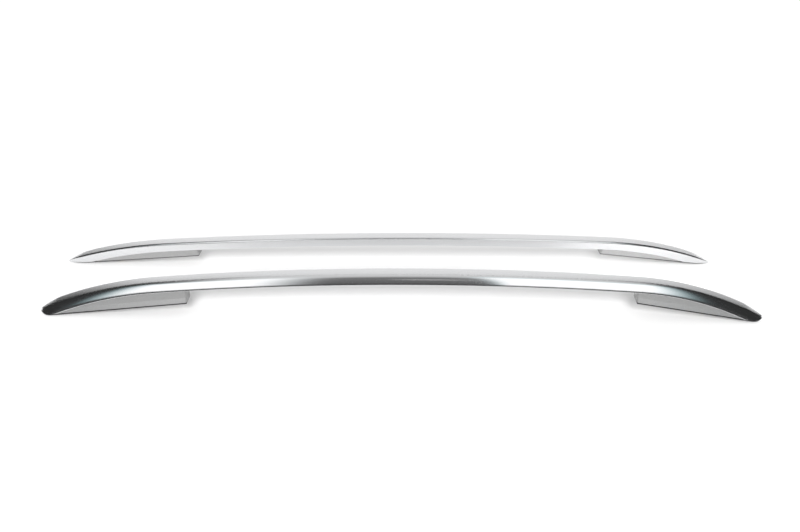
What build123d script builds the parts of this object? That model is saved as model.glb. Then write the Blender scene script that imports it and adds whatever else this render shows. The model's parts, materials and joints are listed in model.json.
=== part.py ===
from build123d import *
import os
from dataclasses import dataclass
from math import asin, cos, radians, sin, tan

# A pair of roof side rails, left and right, mirrored. Millimetres, +X to the front of the vehicle, +Z up.
# Each rail is one bent hollow bar on two moulded feet. The roof falls away to the side under the rails,
# so on a level floor a rail rests on its two tips and leans inwards by the roof's side slope.

# Overall form of one rail
RAIL_LENGTH = 1760.0        # tip to tip, before the tips are rounded
ROOF_SIDE_SLOPE = 21.5      # degrees, fall of the roof to the outside, and so the lean on a level floor
MIDDLE_CROWN = 20.0         # rise of the long middle arc over the chord between its two shoulders
END_RUNOUT = 20.0           # length of bent bar past each tip, trimmed away

# How the bar comes down to the roof at each end. Heights are of its inner lower edge, in the bends' own plane
FRONT_ROOF_SLOPE = 7.8      # degrees, fall of the roof to the front end
FRONT_BEND_LENGTH = 300.0   # from the tip in to the shoulder, where the middle arc starts
FRONT_SHOULDER_HEIGHT = 63.7
FRONT_END_DROP = 34.4       # below the tip, at the end of the runout
FRONT_FOOT_LENGTH = 312.0   # from the tip
REAR_ROOF_SLOPE = 5.0
REAR_BEND_LENGTH = 290.0
REAR_SHOULDER_HEIGHT = 52.9
REAR_END_DROP = 27.0
REAR_FOOT_LENGTH = 368.0

# How the two rails lie beside each other
TIP_SPACING = 273.0         # across, between the middles of the two rails' tips
PAIR_STAGGER = 32.0         # right rail lies this much further forward than the left one
PAIR_SPLAY = 0.4            # degrees that each rail is turned, front ends further apart

# Extruded section of the bar, upright as it sits on the roof
BAR_WIDTH = 37.5
INNER_HEIGHT = 30.0         # flat inner face
CREASE_INSET = 7.0          # from the outer edge in to the crease between top and outer face
TOP_CROWN = 0.5
OUTER_BULGE = 1.8           # the outer face is rounded by this much
LIP_DROP = 4.2              # the outer face hangs below the floor of the bar as a lip over the foot
LIP_WALL = 2.5
BAR_WALL = 2.5
CREASE_RADIUS = 8.0
INNER_TOP_RADIUS = 3.0
INNER_FOOT_RADIUS = 1.5
LIP_RADIUS = 0.8

# Nose of the bar, seen square to the roof
NOSE_TIP_OFFSET = 11.0      # from the inner face out to the foremost point
NOSE_INNER_LENGTH = 55.0    # of the arc from the inner face to the tip
NOSE_OUTER_LENGTH = 34.0    # of the arc from the outer face to the tip
NOSE_TIP_RADIUS = 3.0
NOSE_WALL = 4.0

# Moulded feet
FOOT_WALL = 3.0
FOOT_TOP_WALL = 4.0
FOOT_END_WALL = 3.0
FOOT_INNER_INSET = 1.2      # behind the bar's inner face
FOOT_LIP_GAP = 0.8          # behind the bar's lip
SKIRT_HEIGHT = 13.0
SKIRT_FLARE = 2.5           # the skirt spreads by this much on the outer side
SEAT_CLEARANCE = 0.2        # between the foot and the bent floor of the bar
FOOT_CORNER_RADIUS = 5.0
TOE_HEIGHT = 2.5            # the foot starts where the bar leaves this much room over the gasket
TOE_SOLID = 14.0            # the toe is solid this far behind its inner start
RIB_WALL = 2.5
RIB_SETBACK = 2.0           # free ribs stop short of the gasket
BOSS_DIAMETER = 18.0
SEAT_PAD_DIAMETER = 17.0
SEAT_PAD_DEPTH = 8.0        # under the floor of the bar

# Rubber seal under foot and nose, a pad at the nose and strips round the rim
GASKET_THICKNESS = 2.5
GASKET_INSET = 1.5
GASKET_RIM = 5.0
GASKET_JOINT = 0.3          # open joint between the strips

# Threaded inserts for the roof bolts, M8
INSERT_DIAMETER = 11.0
INSERT_LENGTH = 12.0
INSERT_FLANGE_DIAMETER = 14.0
INSERT_FLANGE = 1.5
INSERT_GROOVE = 0.6
INSERT_GROOVE_WIDTH = 2.4
INSERT_BORE = 6.8
INSERT_CLEARANCE = 0.1
BOLT_OFFSET = 16.0          # from the inner face out to the roof bolts, along the roof
TOE_BOLT_MARGIN = 46.0      # from the hollow of the foot to its first roof bolt
HEEL_BOLT_MARGIN = 40.0     # from the second roof bolt to the inner end of the foot

# Foot screws, M6, with washer and square nut
SCREW_DIAMETER = 6.0
SCREW_HEAD_DIAMETER = 10.5
SCREW_HEAD = 4.0
SCREW_CHAMFER = 0.8
SCREW_RECESS = 4.0          # across the flats of the hexagon recess
SCREW_RECESS_DEPTH = 2.4
SCREW_END = 2.0             # thread past the nut
SCREW_OFFSET = 18.0         # from the inner face out to the foot screws, across the bar
SCREW_CLEARANCE = 0.3
WASHER_DIAMETER = 12.0
WASHER_THICKNESS = 1.6
NUT_WIDTH = 13.0
NUT_HEIGHT = 5.0
NUT_CHAMFER = 0.6
NUT_CLEARANCE = 0.1

PROBE = 120.0               # reach of the blocks that trim the pieces
LOW = (Align.CENTER, Align.CENTER, Align.MIN)
HIGH = (Align.CENTER, Align.CENTER, Align.MAX)


@dataclass(frozen=True)
class End:
    """One end of a rail: how the bar comes down to the roof there, and the length of its foot."""

    name: str
    side: int               # +1 for the front end, -1 for the rear end
    roof_slope: float
    bend_length: float
    shoulder_height: float
    end_drop: float
    foot_length: float


FRONT = End(
    name="front",
    side=1,
    roof_slope=FRONT_ROOF_SLOPE,
    bend_length=FRONT_BEND_LENGTH,
    shoulder_height=FRONT_SHOULDER_HEIGHT,
    end_drop=FRONT_END_DROP,
    foot_length=FRONT_FOOT_LENGTH,
)
REAR = End(
    name="rear",
    side=-1,
    roof_slope=REAR_ROOF_SLOPE,
    bend_length=REAR_BEND_LENGTH,
    shoulder_height=REAR_SHOULDER_HEIGHT,
    end_drop=REAR_END_DROP,
    foot_length=REAR_FOOT_LENGTH,
)
ENDS = (FRONT, REAR)

LEAN = radians(ROOF_SIDE_SLOPE)
BEND_PLANE = Plane(origin=(0, 0, 0), x_dir=(1, 0, 0), z_dir=(0, -cos(LEAN), sin(LEAN)))
INWARD = Vector(0, cos(LEAN), -sin(LEAN))
FOOT_OUTER = BAR_WIDTH - LIP_WALL - FOOT_LIP_GAP
NOSE_LENGTH = max(NOSE_INNER_LENGTH, NOSE_OUTER_LENGTH)


def nearest_corner(face, point):
    """The corner of a flat profile that lies nearest to a point."""
    return min(face.vertices(), key=lambda v: (v.center() - Vector(*point)).length)


def bar_corners():
    """Corners of the extrusion's outline: inner foot, inner top, crease and tip of the lip."""
    crease_drop = (BAR_WIDTH - CREASE_INSET) * tan(LEAN)
    crease = (CREASE_INSET - BAR_WIDTH, INNER_HEIGHT - crease_drop)
    return (0, 0), (0, INNER_HEIGHT), crease, (-BAR_WIDTH, -LIP_DROP)


def bar_profile():
    """Outer outline of the extrusion, its inner face on the vertical axis and its outer side at the left."""
    inner_foot, inner_top, crease, lip_tip = bar_corners()
    lip_back = (LIP_WALL - BAR_WIDTH, -LIP_DROP)
    lip_root = (LIP_WALL - BAR_WIDTH, 0)
    top = SagittaArc(inner_top, crease, -TOP_CROWN)
    outer = SagittaArc(crease, lip_tip, -OUTER_BULGE)
    sides = [Line(lip_tip, lip_back), Line(lip_back, lip_root), Line(lip_root, inner_foot)]
    face = make_face([Line(inner_foot, inner_top), top, outer] + sides)
    for corner, radius in (
        (inner_top, INNER_TOP_RADIUS),
        (crease, CREASE_RADIUS),
        (inner_foot, INNER_FOOT_RADIUS),
        (lip_tip, LIP_RADIUS),
    ):
        face = fillet(nearest_corner(face, corner), radius)
    return face


def hollow_profile():
    """The hollow inside the extrusion, one wall in from its straight outline above the lip."""
    inner_foot, inner_top, crease, lip_tip = bar_corners()
    outer_foot = (crease[0] + (lip_tip[0] - crease[0]) * crease[1] / (crease[1] - lip_tip[1]), 0)
    face = make_face(Polyline(inner_foot, inner_top, crease, outer_foot, close=True))
    face = offset(face, amount=-BAR_WALL, kind=Kind.INTERSECTION)
    return fillet(nearest_corner(face, crease), CREASE_RADIUS - BAR_WALL)


def band_profile(depth):
    """A wide band over the bar and down to a depth under its floor and its lip."""
    over_floor = Pos(-BAR_WIDTH / 2, PROBE / 2 - depth) * Rectangle(2 * PROBE, PROBE)
    over_lip = Pos(-FOOT_OUTER - PROBE / 2, PROBE / 2 - LIP_DROP - depth) * Rectangle(PROBE, PROBE)
    return over_floor + over_lip


def bend_line():
    """Line of the bar's inner lower edge: a long middle arc, and a tighter arc down to each tip."""
    def on_plane(end, from_tip, height):
        return BEND_PLANE.from_local_coords((end.side * (RAIL_LENGTH / 2 - from_tip), height, 0))

    rear = on_plane(REAR, REAR.bend_length, REAR.shoulder_height)
    front = on_plane(FRONT, FRONT.bend_length, FRONT.shoulder_height)
    up = BEND_PLANE.y_dir
    middle = ThreePointArc(rear, (rear + front) * 0.5 + up * MIDDLE_CROWN, front)
    rear_end = on_plane(REAR, -END_RUNOUT, -REAR.end_drop)
    front_end = on_plane(FRONT, -END_RUNOUT, -FRONT.end_drop)
    rear_arc = TangentArc(rear, rear_end, tangent=(middle % 0) * -1)
    front_arc = TangentArc(front, front_end, tangent=middle % 1)
    return Wire([ThreePointArc(rear_end, rear_arc @ 0.5, rear), middle, front_arc])


def along_bar(profile):
    """A profile swept along the bend line, kept square to it."""
    line = bend_line()
    start = Plane(origin=line @ 0, x_dir=INWARD, z_dir=line % 0)
    return sweep(start * profile, path=line)


def roof_plane(end):
    """Roof under one foot: origin at the tip, x inwards along the foot, z square to the roof."""
    slope = radians(end.roof_slope)
    along = Vector(-end.side, tan(slope) * tan(LEAN), tan(slope)).normalized()
    normal = (end.side * sin(slope), 0, cos(slope))
    gasket_rise = nose_outline(end, GASKET_INSET).bounding_box().min.X * along.Z
    return Plane(origin=(end.side * RAIL_LENGTH / 2, 0, -gasket_rise), x_dir=along, z_dir=normal)


def floor_crossing(outwards, plane, near):
    """Point where the floor of the bar, at a distance out from its inner edge, first passes a plane."""
    line = Pos(INWARD * -outwards) * bend_line()
    return (line & plane).vertices().sort_by_distance(near)[0].center()


def toe_points(end):
    """Inner and outer start of the foot, in the roof plane's own axes."""
    roof = roof_plane(end)
    level = roof.offset(GASKET_THICKNESS + TOE_HEIGHT)
    ends = [floor_crossing(outwards, level, roof.origin) for outwards in (0, FOOT_OUTER)]
    return [roof.to_local_coords(point) for point in ends]


def room_start(end):
    """Distance from the tip to the hollow of the foot, along the roof."""
    return toe_points(end)[0].X + TOE_SOLID


def roof_bolts(end):
    """Distances of the two roof bolts from the tip, along the roof."""
    return [room_start(end) + TOE_BOLT_MARGIN, end.foot_length - HEEL_BOLT_MARGIN]


def foot_screws(end):
    """Distances of the two foot screws from the tip, along the roof, evenly between the roof bolts."""
    first, last = roof_bolts(end)
    third = (last - first) / 3
    return [first + third, last - third]


def foot_lean(end):
    """Lean of the foot's walls against the roof's normal, in radians."""
    return asin(sin(LEAN) * cos(radians(end.roof_slope)))


def outward(end):
    """Sign of the sideways axis on the roof plane that leads to the rail's outer side."""
    return end.side


def block(end, x_range, s_range, z_range):
    """A block on the roof plane, given by its ranges along the foot, outwards and up."""
    lengths = [high - low for low, high in (x_range, s_range, z_range)]
    middles = [(high + low) / 2 for low, high in (x_range, s_range, z_range)]
    return Pos(middles[0], outward(end) * middles[1], middles[2]) * Box(*lengths)


def nose_outline(end, inset):
    """Outline of nose and foot on the roof: two arcs to a rounded tip, open-ended past the foot."""
    width = BAR_WIDTH / cos(foot_lean(end))
    far = end.foot_length
    tip = (0, NOSE_TIP_OFFSET)
    inner = (NOSE_INNER_LENGTH, 0)
    outer = (NOSE_OUTER_LENGTH, width)
    arcs = [TangentArc(side, tip, tangent=(-1, 0)) for side in (inner, outer)]
    lines = [Line(inner, (far, 0)), Line((far, 0), (far, width)), Line((far, width), outer)]
    face = make_face(arcs + lines)
    if inset > 0:
        face = offset(face, amount=-inset, kind=Kind.INTERSECTION)
    face = fillet(nearest_corner(face, tip), NOSE_TIP_RADIUS)
    return face if outward(end) > 0 else mirror(face, about=Plane.XZ)


def nose_prism(end, inset):
    """The nose outline carried up along the leaning sides of the bar."""
    lean = foot_lean(end)
    up = Vector(0, -outward(end) * sin(lean), cos(lean))
    outline = nose_outline(end, inset)
    return extrude(outline, amount=PROBE, dir=up) + extrude(outline, amount=PROBE, dir=up * -1)


def nose_waste(end, inset):
    """What is trimmed off the end of the bar, or of its hollow, to leave the round nose."""
    around = block(end, (-PROBE, NOSE_LENGTH), (-PROBE, PROBE), (-PROBE, PROBE))
    return roof_plane(end) * (around - nose_prism(end, inset))


def make_bar():
    """The bent bar: swept section, noses trimmed, underside cut on the gaskets, hollow and screw holes."""
    bar = along_bar(bar_profile())
    hollow = along_bar(hollow_profile())
    for end in ENDS:
        bar -= nose_waste(end, 0)
        under = block(end, (-PROBE, end.foot_length), (-PROBE, PROBE), (-PROBE, GASKET_THICKNESS))
        bar -= roof_plane(end) * under
        hollow -= nose_waste(end, NOSE_WALL)
    bar -= hollow
    for end in ENDS:
        for spot in screw_planes(end):
            bar -= spot * Cylinder(SCREW_DIAMETER / 2 + SCREW_CLEARANCE, 2 * (BAR_WALL + NUT_CLEARANCE))
    return bar


def screw_planes(end):
    """Planes on the floor of the bar at the foot screws, z up into the bar."""
    line = bend_line()
    roof = roof_plane(end)
    planes = []
    for distance in foot_screws(end):
        across = Plane(origin=roof.from_local_coords((distance, 0, 0)), z_dir=roof.x_dir)
        point = floor_crossing(0, across, roof.origin)
        tangent = line % line.param_at_point(point)
        planes.append(Plane(origin=point - INWARD * SCREW_OFFSET, x_dir=tangent, z_dir=tangent.cross(INWARD)))
    return planes


def foot_section(end, wall):
    """Cross-section of a foot on the roof, leaning with the bar and flared at its skirt."""
    lean = foot_lean(end)
    inner = (FOOT_INNER_INSET + wall) / cos(lean)
    outer = (FOOT_OUTER - wall) / cos(lean)
    low = GASKET_THICKNESS if wall == 0 else -GASKET_THICKNESS
    flare = SKIRT_FLARE * (SKIRT_HEIGHT - low) / SKIRT_HEIGHT
    high = PROBE

    def leaning(s, z):
        return (outward(end) * (s - z * tan(lean)), z)

    points = [
        leaning(inner, low),
        leaning(outer + flare, low),
        leaning(outer, SKIRT_HEIGHT),
        leaning(outer, high),
        leaning(inner, high),
    ]
    return make_face(Polyline(*points, close=True))


def foot_prism(end, wall, start, stop):
    """A foot section carried along the foot between two distances from the tip."""
    section_plane = Plane(origin=(start, 0, 0), x_dir=(0, 1, 0), z_dir=(1, 0, 0))
    return extrude(section_plane * foot_section(end, wall), amount=stop - start)


def toe_waste(end):
    """The wedge in front of the slanting toe of a foot."""
    inner, outer = toe_points(end)
    slant = (outer - inner) * (PROBE / abs(outer.Y - inner.Y))
    far = Vector(-RAIL_LENGTH / 2, 0, 0)
    corners = [inner - slant, inner + slant, inner + slant + far, inner - slant + far]
    face = make_face(Polyline(*[(corner.X, corner.Y) for corner in corners], close=True))
    return extrude(face, amount=PROBE, both=True)


def make_foot(end, over_floor, over_top_wall):
    """One moulded foot: a leaning shell under the bar with ribs, bolt bosses and screw pads."""
    roof = roof_plane(end)
    body = foot_prism(end, 0, 0, end.foot_length)
    heel = body.faces().sort_by(Axis.X)[-1]
    uprights = [edge for edge in heel.edges() if abs((edge % 0.5).Z) > 0.5]
    body = fillet(uprights, FOOT_CORNER_RADIUS) - toe_waste(end)
    body = roof * body - over_floor
    room = foot_prism(end, FOOT_WALL, room_start(end), end.foot_length - FOOT_END_WALL)
    room = roof * room - over_top_wall
    foot = body - room

    stations = sorted(roof_bolts(end) + foot_screws(end))
    free_ribs = [(a + b) / 2 for a, b in zip(stations, stations[1:])]
    keep = Part()
    for x in roof_bolts(end):
        keep += block(end, (x - RIB_WALL / 2, x + RIB_WALL / 2), (-PROBE, PROBE), (GASKET_THICKNESS, PROBE))
        keep += bolt_spot(end, x) * Pos(0, 0, PROBE / 2) * Cylinder(BOSS_DIAMETER / 2, PROBE)
    for x in free_ribs:
        low = GASKET_THICKNESS + RIB_SETBACK
        keep += block(end, (x - RIB_WALL / 2, x + RIB_WALL / 2), (-PROBE, PROBE), (low, PROBE))
    keep = roof * keep
    for spot in screw_planes(end):
        keep += spot * Pos(0, 0, -SEAT_PAD_DEPTH / 2) * Cylinder(SEAT_PAD_DIAMETER / 2, SEAT_PAD_DEPTH)
    foot += keep & room

    for x in roof_bolts(end):
        foot -= roof * (bolt_spot(end, x) * stepped_bush(INSERT_CLEARANCE))
    for spot in screw_planes(end):
        foot -= spot * Cylinder(SCREW_DIAMETER / 2 + SCREW_CLEARANCE, 2 * (SEAT_PAD_DEPTH + WASHER_THICKNESS))
    return foot


def bolt_spot(end, x):
    """Place of a roof bolt on the gasket's upper face, in the roof plane's own axes."""
    return Pos(x, outward(end) * BOLT_OFFSET, GASKET_THICKNESS)


def stepped_bush(clearance):
    """Body and flange of a threaded insert, grown by a clearance, from the flange upwards."""
    body = Cylinder(INSERT_DIAMETER / 2 + clearance, INSERT_LENGTH + clearance, align=LOW)
    flange = Cylinder(INSERT_FLANGE_DIAMETER / 2 + clearance, INSERT_FLANGE + clearance, align=LOW)
    return body + flange


def make_insert():
    """One threaded insert: flanged bush with a groove round its middle."""
    groove = Cylinder(INSERT_FLANGE_DIAMETER / 2, INSERT_GROOVE_WIDTH)
    groove -= Cylinder(INSERT_DIAMETER / 2 - INSERT_GROOVE, INSERT_GROOVE_WIDTH)
    bush = stepped_bush(0) - Pos(0, 0, (INSERT_FLANGE + INSERT_LENGTH) / 2) * groove
    return bush - Cylinder(INSERT_BORE / 2, PROBE)


def make_inserts(end):
    """The inserts of one foot, flange down on the gasket side."""
    roof = roof_plane(end)
    return Compound([(roof * (bolt_spot(end, x) * make_insert())).solid() for x in roof_bolts(end)])


def make_gasket(end):
    """Seal under nose and foot: a pad under the nose, a strip along each side and one across the heel."""
    start = NOSE_LENGTH + GASKET_RIM
    stop = end.foot_length - GASKET_INSET
    inner = GASKET_INSET + GASKET_RIM
    outer = BAR_WIDTH / cos(foot_lean(end)) - GASKET_INSET - GASKET_RIM
    height = (0, GASKET_THICKNESS)
    sides = (start + GASKET_JOINT, stop)
    pad = extrude(nose_outline(end, GASKET_INSET), amount=GASKET_THICKNESS, dir=(0, 0, 1))
    pad &= block(end, (-PROBE, start), (-PROBE, PROBE), (-PROBE, PROBE))
    strips = [
        block(end, sides, (inner - GASKET_RIM, inner), height),
        block(end, sides, (outer, outer + GASKET_RIM), height),
        block(end, (stop - GASKET_RIM, stop), (inner + GASKET_JOINT, outer - GASKET_JOINT), height),
    ]
    return roof_plane(end) * Compound([piece.solid() for piece in [pad] + strips])


def make_screw():
    """One foot screw, pointing up, with the underside of its head at the origin."""
    grip = SEAT_PAD_DEPTH + WASHER_THICKNESS + BAR_WALL + NUT_CLEARANCE + NUT_HEIGHT + SCREW_END
    shank = Cylinder(SCREW_DIAMETER / 2, grip, align=LOW)
    shank = chamfer(shank.edges().sort_by(Axis.Z)[-1], SCREW_CHAMFER)
    head = Cylinder(SCREW_HEAD_DIAMETER / 2, SCREW_HEAD, align=HIGH)
    head = chamfer(head.edges().sort_by(Axis.Z)[0], SCREW_CHAMFER)
    recess = extrude(RegularPolygon(SCREW_RECESS / 2, 6, major_radius=False), amount=SCREW_RECESS_DEPTH)
    return shank + head - Pos(0, 0, -SCREW_HEAD) * recess


def make_washer():
    """One washer, its upper face at the origin."""
    disc = Cylinder(WASHER_DIAMETER / 2, WASHER_THICKNESS, align=HIGH)
    return disc - Cylinder(SCREW_DIAMETER / 2 + SCREW_CLEARANCE, PROBE)


def make_nut():
    """One square nut, its lower face at the origin."""
    nut = Box(NUT_WIDTH, NUT_WIDTH, NUT_HEIGHT, align=LOW)
    nut = chamfer(nut.edges().filter_by(Axis.Z), NUT_CHAMFER)
    return nut - Cylinder(SCREW_DIAMETER / 2 + NUT_CLEARANCE, PROBE)


def at_screws(end, piece, height):
    """Copies of a fastener at the foot screws, at a height over the floor of the bar."""
    return Compound([(spot * Pos(0, 0, height) * piece).solid() for spot in screw_planes(end)])


def make_rail():
    """All pieces of the right rail by name, its inner lower edge at the tips on the X axis."""
    pieces = {"bar": make_bar()}
    over_floor = along_bar(band_profile(SEAT_CLEARANCE))
    over_top_wall = along_bar(band_profile(SEAT_CLEARANCE + FOOT_TOP_WALL))
    for end in ENDS:
        pieces[end.name + "_foot"] = make_foot(end, over_floor, over_top_wall)
        pieces[end.name + "_gasket"] = make_gasket(end)
        pieces[end.name + "_inserts"] = make_inserts(end)
        pieces[end.name + "_screws"] = at_screws(end, make_screw(), -SEAT_PAD_DEPTH - WASHER_THICKNESS)
        pieces[end.name + "_washers"] = at_screws(end, make_washer(), -SEAT_PAD_DEPTH)
        pieces[end.name + "_nuts"] = at_screws(end, make_nut(), BAR_WALL + NUT_CLEARANCE)
    return pieces


os.makedirs("parts", exist_ok=True)
to_tip_middle = Pos(0, BAR_WIDTH / cos(LEAN) / 2, 0)
right_place = Pos(PAIR_STAGGER / 2, -TIP_SPACING / 2, 0) * Rot(0, 0, -PAIR_SPLAY) * to_tip_middle
for name, piece in make_rail().items():
    right = right_place * piece
    left = Pos(-PAIR_STAGGER, 0, 0) * mirror(right, about=Plane.XZ)
    export_step(right, "parts/right_" + name + ".step")
    export_step(left, "parts/left_" + name + ".step")
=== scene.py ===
import json
import logging
import math
from dataclasses import dataclass
from enum import Enum
from typing import Any, Optional, Sequence, Union

import bmesh
import bpy
from mathutils import Matrix, Vector


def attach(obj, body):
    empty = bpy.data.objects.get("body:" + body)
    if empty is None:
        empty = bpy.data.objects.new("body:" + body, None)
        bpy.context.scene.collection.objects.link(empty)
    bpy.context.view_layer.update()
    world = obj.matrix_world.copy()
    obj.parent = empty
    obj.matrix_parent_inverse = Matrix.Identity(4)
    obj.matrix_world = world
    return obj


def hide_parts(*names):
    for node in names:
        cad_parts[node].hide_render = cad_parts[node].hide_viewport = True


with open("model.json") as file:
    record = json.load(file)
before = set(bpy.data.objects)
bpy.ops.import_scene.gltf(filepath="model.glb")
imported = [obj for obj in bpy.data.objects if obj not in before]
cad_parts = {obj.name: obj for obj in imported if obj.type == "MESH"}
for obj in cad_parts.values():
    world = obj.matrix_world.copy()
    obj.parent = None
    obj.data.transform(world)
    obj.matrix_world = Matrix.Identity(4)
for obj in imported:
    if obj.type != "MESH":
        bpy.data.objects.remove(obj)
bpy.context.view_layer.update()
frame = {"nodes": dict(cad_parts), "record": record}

BODY = "root"
LOG = logging.getLogger("roof_rails")
WHITE = (1.0, 1.0, 1.0, 1.0)
Value = Union[float, Sequence[float], "Wire"]


def grey(level: float) -> tuple:
    """A neutral colour of one level."""
    return (level, level, level, 1.0)


class RailSide(Enum):
    """The two rails of the pair; the value is the sign that mirrors the right rail across."""

    RIGHT = 1
    LEFT = -1


class End(Enum):
    """The two ends of a rail; the value is the sign along the length."""

    FRONT = 1
    REAR = -1


class Slot(Enum):
    """The record's material slots."""

    BAR = "bar"
    FOOT = "foot"
    GASKET = "gasket"
    INSERT = "insert"
    FASTENER = "fastener"


class Wire:
    """An output socket of a node tree; arithmetic on it adds Math nodes to the tree."""

    def __init__(self, graph: "Graph", socket: bpy.types.NodeSocket) -> None:
        """Keeps the graph and the socket that the wire starts from."""
        self.graph = graph
        self.socket = socket

    def __add__(self, other: Value) -> "Wire":
        """Sum of two values."""
        return self.graph.math("ADD", self, other)

    def __radd__(self, other: Value) -> "Wire":
        """Sum with a plain number in front."""
        return self.graph.math("ADD", other, self)

    def __sub__(self, other: Value) -> "Wire":
        """Difference of two values."""
        return self.graph.math("SUBTRACT", self, other)

    def __rsub__(self, other: Value) -> "Wire":
        """Difference with a plain number in front."""
        return self.graph.math("SUBTRACT", other, self)

    def __mul__(self, other: Value) -> "Wire":
        """Product of two values."""
        return self.graph.math("MULTIPLY", self, other)

    def __rmul__(self, other: Value) -> "Wire":
        """Product with a plain number in front."""
        return self.graph.math("MULTIPLY", other, self)

    def __truediv__(self, other: Value) -> "Wire":
        """Quotient of two values."""
        return self.graph.math("DIVIDE", self, other)

    def __rtruediv__(self, other: Value) -> "Wire":
        """Quotient with a plain number in front."""
        return self.graph.math("DIVIDE", other, self)

    def __lt__(self, other: Value) -> "Wire":
        """1 where the value is smaller, else 0."""
        return self.graph.math("LESS_THAN", self, other)

    def __gt__(self, other: Value) -> "Wire":
        """1 where the value is larger, else 0."""
        return self.graph.math("GREATER_THAN", self, other)

    def root(self) -> "Wire":
        """Square root, 0 for negative values."""
        return self.graph.math("SQRT", self)

    def clamped(self, low: Value, high: Value) -> "Wire":
        """The value held between two limits."""
        return self.graph.math("MINIMUM", self.graph.math("MAXIMUM", self, low), high)

    def dot(self, other: "Wire") -> "Wire":
        """Dot product of two vectors."""
        return self.graph.vector("DOT_PRODUCT", self, other, output="Value")


class Graph:
    """A node tree that is written as expressions."""

    def __init__(self, tree: bpy.types.NodeTree, owner: Optional[bpy.types.Material] = None) -> None:
        """Wraps a node tree and keeps the material that it belongs to, if any."""
        self.tree = tree
        self.owner = owner

    @classmethod
    def geometry(cls, name: str) -> "Graph":
        """A new, empty geometry tree.

        Args:
            name: Name of the tree.

        Returns:
            The graph that writes it.
        """
        return cls(bpy.data.node_groups.new(name, "GeometryNodeTree"))

    @classmethod
    def material(cls, name: str) -> "Graph":
        """A new material with an empty node tree.

        Args:
            name: Name of the material.

        Returns:
            The graph that writes it, with the material as its owner.
        """
        made = bpy.data.materials.new(name)
        made.use_nodes = True
        made.node_tree.nodes.clear()
        return cls(made.node_tree, made)

    def add(self, kind: str, settings: Optional[dict] = None, sockets: Optional[dict] = None,
            output: Union[int, str] = 0) -> Wire:
        """Adds any node: settings first, then the values or links of its sockets.

        Args:
            kind: Blender's type name of the node.
            settings: Attributes of the node.
            sockets: Value or wire for an input socket, by name or index.
            output: Output socket that the wire starts from.

        Returns:
            A wire from that output.
        """
        node = self.tree.nodes.new(kind)
        for name, value in (settings or {}).items():
            setattr(node, name, value)
        for key, value in (sockets or {}).items():
            self.plug(node.inputs[key], value)
        if not len(node.outputs):
            return Wire(self, None)
        return Wire(self, node.outputs[output])

    def plug(self, socket: bpy.types.NodeSocket, value: Value) -> None:
        """Links a wire to an input socket, or sets the socket's own value.

        Args:
            socket: The input socket.
            value: Wire to link, or plain value to set.
        """
        if isinstance(value, Wire):
            self.tree.links.new(value.socket, socket)
        else:
            socket.default_value = value

    def math(self, operation: str, *values: Value) -> Wire:
        """Adds a Math node on one, two or three values."""
        return self.add("ShaderNodeMath", {"operation": operation}, dict(enumerate(values)))

    def vector(self, operation: str, *values: Value, output: Union[int, str] = 0) -> Wire:
        """Adds a Vector Math node on one or two vectors."""
        return self.add("ShaderNodeVectorMath", {"operation": operation}, dict(enumerate(values)), output)

    def scaled(self, direction: Wire, amount: Value) -> Wire:
        """A vector multiplied by a number."""
        return self.add("ShaderNodeVectorMath", {"operation": "SCALE"}, {0: direction, "Scale": amount})

    def xyz(self, x: Value, y: Value, z: Value) -> Wire:
        """A vector from its three numbers."""
        return self.add("ShaderNodeCombineXYZ", None, {0: x, 1: y, 2: z})

    def mixed(self, factor: Value, low: Value, high: Value) -> Wire:
        """A colour between two colours."""
        return self.add("ShaderNodeMix", {"data_type": "RGBA"}, {0: factor, 6: low, 7: high}, 2)

    def smooth(self, value: Wire, start: float, stop: float) -> Wire:
        """0 before start, 1 after stop, and smooth between them."""
        settings = {"interpolation_type": "SMOOTHSTEP"}
        return self.add("ShaderNodeMapRange", settings, {0: value, 1: start, 2: stop})

    def noise(self, place: Wire, scale: float, detail: float = 2.0, roughness: float = 0.5) -> Wire:
        """Noise between 0 and 1 at a place."""
        sockets = {"Vector": place, "Scale": scale, "Detail": detail, "Roughness": roughness}
        return self.add("ShaderNodeTexNoise", None, sockets)

    def here(self) -> Wire:
        """Object coordinates of the shaded point."""
        return self.add("ShaderNodeTexCoord", None, None, "Object")

    def sharpness(self, radius: float) -> Wire:
        """How far the surface turns within a radius: 0 on a flat stretch, more on an edge.

        Args:
            radius: Reach of the look round the point, in metres.

        Returns:
            A wire with that measure.
        """
        soft = self.add("ShaderNodeBevel", {"samples": 4}, {"Radius": radius})
        hard = self.add("ShaderNodeNewGeometry", None, None, "Normal")
        return 1 - soft.dot(hard)

    def inlet(self, name: str, kind: str) -> Wire:
        """A named input of a geometry tree.

        Args:
            name: Name that the input shows.
            kind: Socket type without its prefix, such as Float.

        Returns:
            A wire from that input.
        """
        self.tree.interface.new_socket(name=name, in_out="INPUT", socket_type="NodeSocket" + kind)
        return self.add("NodeGroupInput", None, None, name)

    def inlets(self, kind: str, *names: str) -> list[Wire]:
        """Named inputs of one kind, in the order of their names."""
        return [self.inlet(name, kind) for name in names]

    def finish_geometry(self, geometry: Wire, finish: Wire) -> bpy.types.NodeTree:
        """Ends a geometry tree: instances made real, the finish set, and the result handed out.

        Args:
            geometry: What the tree has made.
            finish: Wire that carries the material.

        Returns:
            The finished tree.
        """
        real = self.add("GeometryNodeRealizeInstances", None, {"Geometry": geometry})
        dressed = self.add("GeometryNodeSetMaterial", None, {"Geometry": real, "Material": finish})
        self.tree.interface.new_socket(name="Geometry", in_out="OUTPUT", socket_type="NodeSocketGeometry")
        self.add("NodeGroupOutput", None, {"Geometry": dressed})
        return self.tree

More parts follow.
